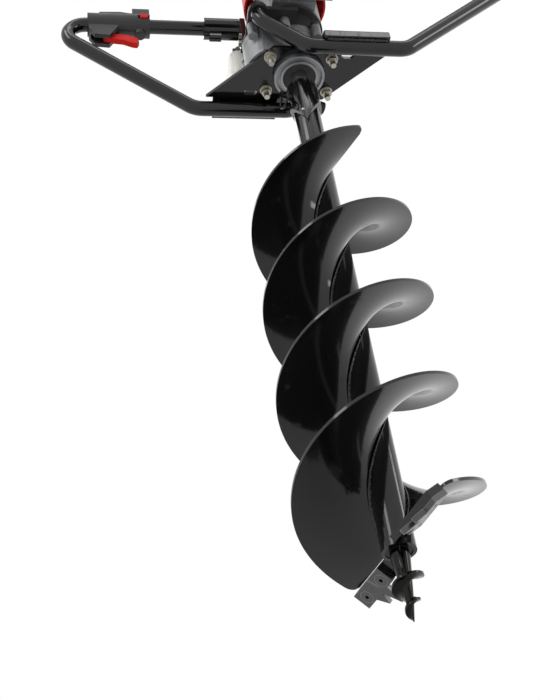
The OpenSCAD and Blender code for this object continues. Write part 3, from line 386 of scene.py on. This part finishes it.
def blade_steel(name, colour, roughness=0.2, bright=0.14):
    """Hardened steel with fine scratches, and a painted highlight that lightens its edges."""
    f = Finish(name)
    marks = f.noise(scale=300, detail=4, stretch=(1, 0.15, 1))
    cloud = f.noise(scale=35, detail=4)
    # Painted highlight: the sharp edges are lightened, as if light caught them.
    edge = f.painted_edge_highlight(width=0.0012)
    scratch = f.between(f.noise(scale=120, detail=7, stretch=(0.2, 1, 0.2)), low=0.62, high=0.72)
    # Lighter along the scratches, which are wear, and along the edges, where it is a painted
    # highlight.
    f.surface(
        base_color=f.mix(edge * 0.8 + scratch * 0.3, colour, tint(colour, gain=1.6, lift=bright)),
        metallic=0.95,
        roughness=roughness + marks * 0.1 + cloud * 0.12,
    )
    f.relief(marks, depth=0.00005, edge=0.0004)
    return f.material


def moulded(name, colour, roughness=0.42, depth=0.0001, shine=0.5):
    """Moulded plastic or thick paint with a fine leathery grain and rubbed patches."""
    f = Finish(name)
    grain = f.noise(scale=1900, detail=2)
    rubbed = f.between(f.noise(scale=32, detail=5), low=0.5, high=0.8)
    f.surface(
        base_color=f.mix(rubbed * 0.5 + grain * 0.2, colour, tint(colour, gain=1.25, lift=0.008)),
        roughness=roughness + grain * 0.12 - rubbed * 0.1,
        specular_ior_level=shine,
    )
    f.relief(grain, depth=depth)
    return f.material


DUST = (0.05, 0.049, 0.047)


def rubber(name, colour):
    """Matt rubber with a fine tooth and pale dust."""
    f = Finish(name)
    tooth = f.noise(scale=1200, detail=3)
    dust = f.between(f.noise(scale=50, detail=6), low=0.52, high=0.85)
    f.surface(base_color=f.mix(dust * 0.5, colour, DUST), roughness=0.6 + tooth * 0.25)
    f.relief(tooth, depth=0.00018)
    return f.material


BROWNED = (0.11, 0.085, 0.065)


def heated_steel(name, colour):
    """Silencer plate, blued and browned by heat."""
    f = Finish(name)
    warm = f.between(f.noise(scale=22, detail=5), low=0.4, high=0.7)
    grain = f.noise(scale=700, detail=3)
    f.surface(
        base_color=f.mix(warm, colour, BROWNED), metallic=0.85, roughness=0.38 + grain * 0.18
    )
    f.relief(grain, depth=0.0001)
    return f.material


# What makes each finish, its colour in the settings, and the values that aren't the usual ones.
FINISHES = {
    "gloss_black_paint": (gloss_paint, "paint", {}),
    "weld_bead": (weld, "paint", {}),
    "alloy_casting": (casting, "cast", {}),
    "bare_steel": (bare_steel, "steel", {}),
    "plated_zinc": (bare_steel, "zinc", {"roughness": 0.28, "stretch": (1, 1, 2)}),
    "blade_steel": (blade_steel, "blade", {}),
    # The pilot point and the coupling pin get the same painted highlight along their edges, only
    # fainter.
    "blackened_steel": (blade_steel, "dark", {"roughness": 0.02, "bright": 0.03}),
    "painted_casting": (moulded, "plastic", {"roughness": 0.34, "depth": 0.0002}),
    "black_moulding": (moulded, "plastic", {}),
    "red_moulding": (moulded, "red", {"depth": 0.00003, "shine": 0.15}),
    "white_moulding": (moulded, "tank", {"roughness": 0.4, "depth": 0.00008}),
    "black_rubber": (rubber, "rubber", {}),
    "heated_steel": (heated_steel, "heated", {}),
}

# The CAD nodes that have each finish.
WEARS = {
    "gloss_black_paint": (
        "bit_tube flight_a flight_b blade_holder_a blade_holder_b coupling_sleeve base_plate "
        "frame_tube_left frame_tube_right handle_bracket_left handle_bracket_right"
    ),
    "alloy_casting": (
        "gearbox_housing gearbox_cover crankcase_lower crankcase_upper cylinder carburettor "
        "piston flywheel"
    ),
    "bare_steel": (
        "output_shaft output_gear output_bearing layshaft layshaft_bearings input_shaft "
        "input_bearing clutch_drum clutch_shoes trigger_pin main_bearings crankshaft "
        "connecting_rod"
    ),
    "plated_zinc": "gearbox_studs cover_bolts frame_bolts",
    "blade_steel": "blade_a blade_b blade_bolts",
    "blackened_steel": "coupling_pin pin_clip pilot_point",
    "painted_casting": "clutch_housing",
    "black_moulding": (
        "grip_half_near grip_half_far trigger_lock air_filter fuel_cap starter_handle"
    ),
    "red_moulding": "trigger stop_switch choke_lever starter_cover",
    "white_moulding": "fuel_tank starter_pulley spark_plug",
    "black_rubber": "rubber_grip shaft_seal primer_bulb gearbox_gasket",
    "heated_steel": "muffler",
}
LOOK_OF = {node: look for look, nodes in WEARS.items() for node in nodes.split()}


def finish(name):
    """The finish of that name, made when it is first asked for."""
    make, colour, values = FINISHES[name]
    made = bpy.data.materials.get(name)
    return made or make(name, getattr(settings("auger_colours"), colour), **values)


# Pieces

MERGE_PIECE = 1e-6  # Points of a new piece that are closer than this become one
MERGE_NODE = 1e-5  # The same for the copy of a CAD node
BEVEL_ANGLE = radians(40)  # Edges sharper than this are rounded
SHARP_ANGLE = radians(32)  # Edges sharper than this are shaded as edges
FLAT_ANGLE = radians(1)  # Faces that meet at less than this become one


def add_object(name, bm):
    """Makes an object of a bmesh and links it to the scene."""
    mesh = bpy.data.meshes.new(name)
    bm.to_mesh(mesh)
    bm.free()
    thing = bpy.data.objects.new(name, mesh)
    bpy.context.scene.collection.objects.link(thing)
    return thing


def add_piece(name, bm, body, look, replaced=()):
    """Makes a smooth piece from a bmesh, in the place of the CAD nodes that it stands for."""
    piece = add_object(name, bm)
    piece.data.shade_smooth()
    piece.data.materials.append(finish(look))
    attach(piece, body)
    if replaced:
        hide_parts(*replaced)
    return piece


def round_edges(piece, width):
    """Bevels the sharp edges of a piece and keeps its flats flat."""
    bevel = piece.modifiers.new("edges", "BEVEL")
    bevel.width, bevel.segments, bevel.limit_method = width, 2, "ANGLE"
    bevel.angle_limit, bevel.harden_normals = BEVEL_ANGLE, True


def close_up(bm):
    """Merges doubled vertices and turns all faces outwards."""
    bmesh.ops.remove_doubles(bm, verts=bm.verts, dist=MERGE_PIECE)
    bmesh.ops.recalc_face_normals(bm, faces=bm.faces)


def fill_ends(bm):
    """Closes every open loop of edges with a face."""
    bmesh.ops.holes_fill(bm, edges=[e for e in bm.edges if e.is_boundary], sides=0)


def rotation(angle, axis):
    """The turn by an angle about one of the axes."""
    return Matrix.Rotation(angle, 3, axis)


def facing(direction):
    """The turn that brings +Z to a direction."""
    return Vector(direction).to_track_quat("Z", "Y").to_matrix()


def turn(bm, matrix):
    """Turns all of a bmesh about the origin."""
    bmesh.ops.rotate(bm, verts=bm.verts, cent=(0, 0, 0), matrix=matrix)


def move(bm, vec):
    """Moves all of a bmesh."""
    bmesh.ops.translate(bm, verts=bm.verts, vec=vec)


def start_ring(sides, radius, matrix, place):
    """A bmesh that holds one ring of edges, turned by a matrix and moved to its place."""
    bm = bmesh.new()
    bmesh.ops.create_circle(bm, segments=sides, radius=radius)
    turn(bm, matrix)
    move(bm, place)
    return bm


def verts_among(geometry):
    """The vertices in the result of a bmesh operator."""
    return [g for g in geometry if isinstance(g, bmesh.types.BMVert)]


def edges_among(geometry):
    """The edges in the result of a bmesh operator."""
    return [g for g in geometry if isinstance(g, bmesh.types.BMEdge)]


def extrude_ring(bm, ring):
    """Extrudes a ring of edges in its place, and returns the new ring and its vertices."""
    made = bmesh.ops.extrude_edge_only(bm, edges=ring)["geom"]
    points = verts_among(made)
    return [e for e in edges_among(made) if all(v in points for v in e.verts)], points


def sweep_helix(bm, bit, angle):
    """Sweeps the edges of a bmesh along a helix with the pitch and turns of a flight."""
    turn(bm, rotation(angle, "Z"))
    bmesh.ops.spin(
        bm,
        geom=[*bm.verts, *bm.edges],
        cent=(0, 0, 0),
        axis=(0, 0, 1),
        dvec=(0, 0, bit.pitch * bit.turns / bit.steps),
        angle=2 * pi * bit.turns,
        steps=bit.steps,
    )


def round_corners(bm, bit):
    """Rounds the outer corners of a flight's sheet at both of its ends."""
    rise = bit.pitch * bit.turns
    rim_per_rise = sqrt((2 * pi * bit.radius) ** 2 + bit.pitch**2) / bit.pitch
    inner = bit.radius - bit.corner
    for vertex in bm.verts:
        out = vertex.co.xy.length
        up = vertex.co.z - bit.foot + bit.thickness / 2
        short = bit.corner - rim_per_rise * min(abs(up), abs(rise - up))
        if out > inner and short > 0:
            reach = sqrt(bit.corner**2 - min(short, bit.corner) ** 2)
            vertex.co.xy *= (inner + (out - inner) * reach / bit.corner) / out


ROOT_GAP = 0.0002  # Between the tube and the root of a flight, which the weld beads cover
FLIGHT_CUTS = 15  # Cuts across a flight, from root to rim
FLIGHT_EDGE = 0.0009


class AUGER_OT_flights(bpy.types.Operator):
    """Builds both helical flights as smooth sheets"""

    bl_idname = "auger.flights"
    bl_label = "Flights"

    def execute(self, context):
        bit = settings("auger_bit")
        low = bit.foot - bit.thickness / 2
        for letter, angle in BIT_TURNS.items():
            name = f"flight_{letter}"
            bm = bmesh.new()
            ends = [bm.verts.new((r, 0, low)) for r in (TUBE_RADIUS + ROOT_GAP, bit.radius)]
            bmesh.ops.subdivide_edges(bm, edges=[bm.edges.new(ends)], cuts=FLIGHT_CUTS)
            sweep_helix(bm, bit, bit.start + angle)
            round_corners(bm, bit)
            upper = bmesh.ops.extrude_face_region(bm, geom=bm.faces[:])["geom"]
            bmesh.ops.translate(bm, verts=verts_among(upper), vec=(0, 0, bit.thickness))
            close_up(bm)
            piece = add_piece(
                "smooth_" + name, bm, "bit", "gloss_black_paint", [name]
            )
            round_edges(piece, FLIGHT_EDGE)
        return {"FINISHED"}


# Where the middle of a root bead is, in radii of the bead: out from the tube, and past the sheet.
BEAD_OUT = 0.3
BEAD_PAST = 1.6
BEAD_SIDES = 8


class AUGER_OT_weld_beads(bpy.types.Operator):
    """Lays a weld bead along the root of each flight, above and below it"""

    bl_idname = "auger.weld_beads"
    bl_label = "Weld beads"

    def execute(self, context):
        bit = settings("auger_bit")
        out, past = TUBE_RADIUS + bit.bead * BEAD_OUT, bit.thickness / 2 + bit.bead * BEAD_PAST
        for letter, angle in BIT_TURNS.items():
            for side, label in ((-1, "under"), (1, "over")):
                seat = (out, 0, bit.foot + side * past)
                bm = start_ring(BEAD_SIDES, bit.bead, rotation(pi / 2, "X"), seat)
                sweep_helix(bm, bit, bit.start + angle)
                fill_ends(bm)
                close_up(bm)
                add_piece(f"weld_bead_{letter}_{label}", bm, "bit", "weld_bead")
        return {"FINISHED"}


# Half profile of the rivet's head, as distances from its middle line and from the sleeve.
RIVET = ((0.0, 0.0017), (0.0012, 0.0015), (0.0021, 0.0009), (0.0026, -0.0004))
RIVET_PLACE = (-0.0100, -0.0193, 0.7642)
RIVET_FACING = (-0.444, -0.896, 0.0)
RIVET_SIDES = 24


class AUGER_OT_tongue_rivet(bpy.types.Operator):
    """Sets the domed rivet in the tongue of the coupling sleeve"""

    bl_idname = "auger.tongue_rivet"
    bl_label = "Tongue rivet"

    def execute(self, context):
        bm = bmesh.new()
        points = [bm.verts.new((out, 0, up)) for out, up in RIVET]
        for pair in zip(points, points[1:]):
            bm.edges.new(pair)
        bmesh.ops.spin(
            bm,
            geom=[*bm.verts, *bm.edges],
            cent=(0, 0, 0),
            axis=(0, 0, 1),
            angle=2 * pi,
            steps=RIVET_SIDES,
            use_merge=True,
        )
        fill_ends(bm)
        close_up(bm)
        turn(bm, facing(RIVET_FACING))
        move(bm, RIVET_PLACE)
        add_piece("tongue_rivet", bm, "bit", "bare_steel")
        return {"FINISHED"}


TUBE_SIDES = 32
TUBE_EDGE = 0.0006
BEND_STEPS = 12  # Steps to the radian in a bend, of which it has at least the number below
BEND_STEPS_LEAST = 6


def tube_corners(tube):
    """Corners of the left tube's middle line in its own plane, from the hand bar to the riser."""
    run, bar = FRAME_FOOT + tube.radius, FRAME_TOP - tube.radius
    arm_top = tube.flat_out + (bar - run) / tan(tube.slope)
    knee = run + tube.riser + tube.flat_in
    places = [
        (-tube.bar_end, bar), (-arm_top, bar),
        (-tube.flat_out, run), (-tube.flat_in, run),
        (tube.riser, knee), (tube.riser, run + tube.riser_top),
    ]
    return [Vector((x, tube.offset, z)) for x, z in places]


def bend_tube(corners, radius, bend):
    """A bmesh of a tube: a ring that is extruded along the corners and spun round each of them."""
    first = (corners[1] - corners[0]).normalized()
    bm = start_ring(TUBE_SIDES, radius, facing(first), corners[0])
    ring, here = bm.edges[:], corners[0]
    for before, corner, after in zip(corners, corners[1:], [*corners[2:], None]):
        along = (corner - before).normalized()
        setback = 0.0
        if after:
            onward = (after - corner).normalized()
            angle = along.angle(onward)
            setback = bend * tan(angle / 2)
        stop = corner - along * setback
        ring, points = extrude_ring(bm, ring)
        bmesh.ops.translate(bm, verts=points, vec=stop - here)
        if after:
            axis = along.cross(onward).normalized()
            made = bmesh.ops.spin(
                bm,
                geom=[*points, *ring],
                cent=stop + axis.cross(along) * bend,
                axis=axis,
                angle=angle,
                steps=max(BEND_STEPS_LEAST, int(angle * BEND_STEPS)),
            )["geom_last"]
            ring, here = edges_among(made), corner + onward * setback
    fill_ends(bm)
    return bm


class AUGER_OT_frame_tubes(bpy.types.Operator):
    """Bends both handle tubes, the right one turned half round from the left"""

    bl_idname = "auger.frame_tubes"
    bl_label = "Frame tubes"

    def execute(self, context):
        tube = settings("auger_frame")
        for side, angle in FRAME_TURNS.items():
            name = f"frame_tube_{side}"
            bm = bend_tube(tube_corners(tube), tube.radius, tube.bend)
            turn(bm, rotation(angle, "Z"))
            close_up(bm)
            piece = add_piece(
                "smooth_" + name, bm, "frame", "gloss_black_paint", [name]
            )
            round_edges(piece, TUBE_EDGE)
        return {"FINISHED"}


LIP_RUN = (-0.116, -0.030)  # Ends of the lip that is folded down beside the left tube
LIP_BEAD = 0.0026  # Radius of the weld bead under it, in which the next three are given
LIP_STAND = 0.4  # How far the bead's middle is from the tube and from the lip
LIP_END = 0.5  # Radius of the bead's two ends
LIP_RIPPLE = 0.14  # Depth of the hollow between two passes
LIP_PASSES = 34
LIP_SIDES = 12


class AUGER_OT_lip_welds(bpy.types.Operator):
    """Lays a rippled weld bead between each handle tube and the lip folded down beside it"""

    bl_idname = "auger.lip_welds"
    bl_label = "Lip welds"

    def execute(self, context):
        tube = settings("auger_frame")
        stand = LIP_BEAD * LIP_STAND
        seat = Vector((LIP_RUN[0], tube.offset + tube.radius + stand, LIP_FOOT - stand))
        steps = 2 * LIP_PASSES
        stride = (LIP_RUN[1] - LIP_RUN[0]) / steps
        for side, angle in FRAME_TURNS.items():
            bm = start_ring(LIP_SIDES, LIP_BEAD * LIP_END, rotation(pi / 2, "Y"), seat)
            ring, before = bm.edges[:], LIP_END
            for step in range(1, steps + 1):
                size = LIP_END if step == steps else 1.0 - LIP_RIPPLE * (step % 2)
                grow = size / before
                ring, points = extrude_ring(bm, ring)
                about = Matrix.Translation(-seat)
                bmesh.ops.scale(bm, vec=(1, grow, grow), space=about, verts=points)
                bmesh.ops.translate(bm, verts=points, vec=(stride, 0, 0))
                before = size
            fill_ends(bm)
            turn(bm, rotation(angle, "Z"))
            close_up(bm)
            add_piece(f"lip_weld_{side}", bm, "frame", "weld_bead")
        return {"FINISHED"}


FOLD_RADIUS = 0.005
FOLD_STEPS = 6

# The smoothed parts, under the radius to which their edges are rounded. 0 leaves them sharp.
SMOOTHED = {
    0.0: "pilot_point primer_bulb spark_plug",
    0.0005: "blade_a blade_b cylinder",
    0.0006: (
        "stop_switch base_plate bit_tube coupling_sleeve carburettor choke_lever flywheel"
    ),
    0.0008: (
        "handle_bracket_left handle_bracket_right rubber_grip gearbox_housing gearbox_cover "
        "fuel_cap"
    ),
    0.001: (
        "trigger_lock blade_holder_a blade_holder_b clutch_housing crankcase_lower "
        "crankcase_upper starter_handle"
    ),
    0.0012: "trigger starter_cover",
    0.0015: "grip_half_near grip_half_far muffler air_filter",
    0.002: "fuel_tank",
}


def round_folds(bm):
    """Rounds the outer edges along which the base plate is folded down into its lips."""
    top = max(v.co.z for v in bm.verts) - MERGE_NODE
    out = max(abs(v.co.y) for v in bm.verts) - MERGE_NODE
    folds = [e for e in bm.edges if all(v.co.z > top and abs(v.co.y) > out for v in e.verts)]
    bmesh.ops.bevel(
        bm,
        geom=folds,
        offset=FOLD_RADIUS,
        segments=FOLD_STEPS,
        profile=0.5,
        affect="EDGES",
        material=-1,
    )


def smooth_copy(name, width):
    """Replaces a CAD node by a copy with smooth curves and edges that are rounded to a width."""
    bm = bmesh.new()
    bm.from_mesh(NODES[name].data)
    bmesh.ops.remove_doubles(bm, verts=bm.verts, dist=MERGE_NODE)
    bmesh.ops.dissolve_limit(bm, angle_limit=FLAT_ANGLE, verts=bm.verts, edges=bm.edges)
    if name == "base_plate":
        round_folds(bm)
    piece = add_piece("smooth_" + name, bm, BODY_OF[name], LOOK_OF[name], [name])
    piece.data.set_sharp_from_angle(angle=SHARP_ANGLE)
    if width:
        round_edges(piece, width)


class AUGER_OT_smooth_parts(bpy.types.Operator):
    """Gives the castings, mouldings and plates smooth curves and rounded edges"""

    bl_idname = "auger.smooth_parts"
    bl_label = "Smooth parts"

    def execute(self, context):
        for width, names in SMOOTHED.items():
            for name in names.split():
                smooth_copy(name, width)
        return {"FINISHED"}


class AUGER_OT_finishes(bpy.types.Operator):
    """Gives every CAD node its finish"""

    bl_idname = "auger.finishes"
    bl_label = "Finishes"

    def execute(self, context):
        for name, look in LOOK_OF.items():
            slots = NODES[name].data.materials
            slots.clear()
            slots.append(finish(look))
        return {"FINISHED"}


# Stage

FLOOR_REACH = 1.1
FLOOR_FADE = 0.6  # Share of the reach at which the floor starts to fade
FLOOR_SIDES = 96


def stage_floor(colour):
    """A pale round floor that fades out, and that the camera can look up through from below."""
    f = Finish("pale_floor")
    f.surface(base_color=colour, roughness=0.6)
    clear = f.node("BsdfTransparent")
    below = f.node("NewGeometry", out="Backfacing")
    away = f.node("VectorMath", {"operation": "LENGTH"}, {0: f.place}, out="Value")
    lost = 1 - (1 - below) * (1 - f.between(away, FLOOR_REACH * FLOOR_FADE, FLOOR_REACH))
    shown = f.node("MixShader", sockets={0: lost, 1: Wire(f, f.shader.outputs[0]), 2: clear})
    f.feed(f.tree.nodes["Material Output"].inputs["Surface"], shown)
    bm = bmesh.new()
    bmesh.ops.create_circle(bm, cap_ends=True, segments=FLOOR_SIDES, radius=FLOOR_REACH)
    floor = add_object("floor", bm)
    floor.data.materials.append(f.material)


# Brightness of the studio by the height of a direction, from 0, straight down, to 1, straight up.
STUDIO = ((0.0, 0.60), (0.3, 0.68), (0.5, 0.80), (0.7, 0.72), (1.0, 0.80))
WHITE = (1, 1, 1)


def stage_world():
    """A backdrop that is white to the camera and in mirrors and glass, and lights as a studio."""
    world = bpy.data.worlds.new("studio")
    world.use_nodes = True
    bpy.context.scene.world = world
    w = Graph(world.node_tree)
    camera = w.node("LightPath", out="Is Camera Ray")
    mirrored = w.node("LightPath", out="Is Glossy Ray")
    through = w.node("LightPath", out="Is Transmission Ray")
    direction = w.node("TexCoord", out="Generated")
    height = w.node("SeparateXYZ", sockets={0: direction}, out="Z") * 0.5 + 0.5
    studio = w.node("ValToRGB", {"stops": STUDIO}, {0: height})
    seen = w.mix(camera + mirrored + through, studio, WHITE)
    w.feed(w.tree.nodes["Background"].inputs["Color"], seen)


# Place, target, width, height and power in watts of each soft box.
LAMPS = {
    "key": ((-1.9, -1.5, 2.4), (0, 0, 0.6), 0.8, 1.8, 18),
    "fill": ((2.2, -1.0, 1.0), (0, 0, 0.5), 0.5, 1.6, 12),
    "top": ((0.15, -1.8, 3.7), (0, 0, 0.9), 2.0, 0.5, 8),
    "back": ((-0.4, 1.2, 3.2), (0, 0, 0.7), 2.2, 2.2, 20),
}


def soft_lamp(name, place, target, width, height, power):
    """An oblong soft box that faces the target."""
    lamp = bpy.data.lights.new(name, "AREA")
    lamp.shape, lamp.size, lamp.size_y, lamp.energy = "RECTANGLE", width, height, power
    thing = bpy.data.objects.new(name, lamp)
    bpy.context.scene.collection.objects.link(thing)
    thing.location = place
    thing.rotation_euler = (Vector(target) - Vector(place)).to_track_quat("-Z", "Y").to_euler()


CAMERA_PLACE = (-0.3111, -0.9962, -0.5451)
CAMERA_RIGHT = (0.98766, -0.11169, -0.1098)
CAMERA_UP = (0.00728, -0.6675, 0.7446)
CAMERA_LENS = 62.1
CAMERA_SENSOR = 36


def photo_camera():
    """The camera at the photograph's viewing angle, below the floor and looking up."""
    data = bpy.data.cameras.new("photo_camera")
    data.lens, data.sensor_width = CAMERA_LENS, CAMERA_SENSOR
    camera = bpy.data.objects.new("photo_camera", data)
    bpy.context.scene.collection.objects.link(camera)
    right = Vector(CAMERA_RIGHT).normalized()
    up = (Vector(CAMERA_UP) - right * right.dot(Vector(CAMERA_UP))).normalized()
    aim = Matrix((right, up, right.cross(up))).transposed().to_4x4()
    camera.matrix_world = Matrix.Translation(CAMERA_PLACE) @ aim
    bpy.context.scene.camera = camera


class AUGER_OT_stage(bpy.types.Operator):
    """Sets the pale floor, the soft studio light and the camera"""

    bl_idname = "auger.stage"
    bl_label = "Stage"

    def execute(self, context):
        stage_floor(settings("auger_colours").floor)
        stage_world()
        for name, lamp in LAMPS.items():
            soft_lamp(name, *lamp)
        photo_camera()
        context.scene.view_settings.view_transform = "Standard"
        return {"FINISHED"}


class AUGER_PT_pieces(bpy.types.Panel):
    """Lists the pieces that the add-on builds"""

    bl_label = "Earth auger"
    bl_idname = "AUGER_PT_pieces"
    bl_space_type = "VIEW_3D"
    bl_region_type = "UI"
    bl_category = "Auger"

    def draw(self, context):
        for step in STEPS:
            self.layout.operator(step.bl_idname)


GROUPS = {"auger_bit": AugerBit, "auger_frame": AugerFrame, "auger_colours": AugerColours}
STEPS = [
    AUGER_OT_flights,
    AUGER_OT_weld_beads,
    AUGER_OT_tongue_rivet,
    AUGER_OT_frame_tubes,
    AUGER_OT_lip_welds,
    AUGER_OT_smooth_parts,
    AUGER_OT_finishes,
    AUGER_OT_stage,
]
CLASSES = [*GROUPS.values(), *STEPS, AUGER_PT_pieces]


def register():
    for kind in CLASSES:
        bpy.utils.register_class(kind)
    for name, group in GROUPS.items():
        setattr(bpy.types.Scene, name, PointerProperty(type=group))


def unregister():
    for name in GROUPS:
        delattr(bpy.types.Scene, name)
    for kind in reversed(CLASSES):
        bpy.utils.unregister_class(kind)


def main():
    """Builds every piece and the stage in order."""
    register()
    for step in STEPS:
        group, name = step.bl_idname.split(".")
        getattr(getattr(bpy.ops, group), name)()


if __name__ == "__main__":
    main()
